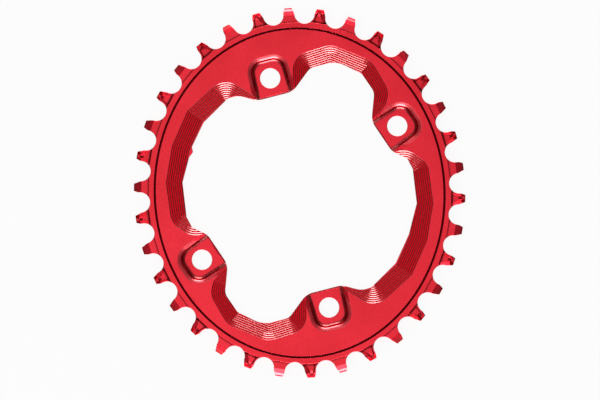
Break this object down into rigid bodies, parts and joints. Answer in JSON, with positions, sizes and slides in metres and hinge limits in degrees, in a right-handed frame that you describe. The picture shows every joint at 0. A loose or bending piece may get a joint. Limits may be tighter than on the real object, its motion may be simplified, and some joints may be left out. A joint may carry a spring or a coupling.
{
  "type": "bicycle chainring",
  "caption": "Flat oval chainring for a bicycle crank: wide and narrow teeth in turn round the rim, a large open middle with a stepped bevel, and seats with bolt holes for the crank's arms.",
  "frame": {"origin": "centre of the bolt circle, on the plane of the back face", "axes": "+Z out of the front face, +Y along the long sides of the rectangle of bolt holes, +X along its short sides; the top of the pictured ring is at 110.6 degrees from +X"},
  "size_m": [0.137, 0.1476, 0.0046],
  "materials": {
    "red_anodised": "red anodised, satin"
  },
  "bodies": {
    "root": {"chainring": "red_anodised"}
  },
  "joints": []
}
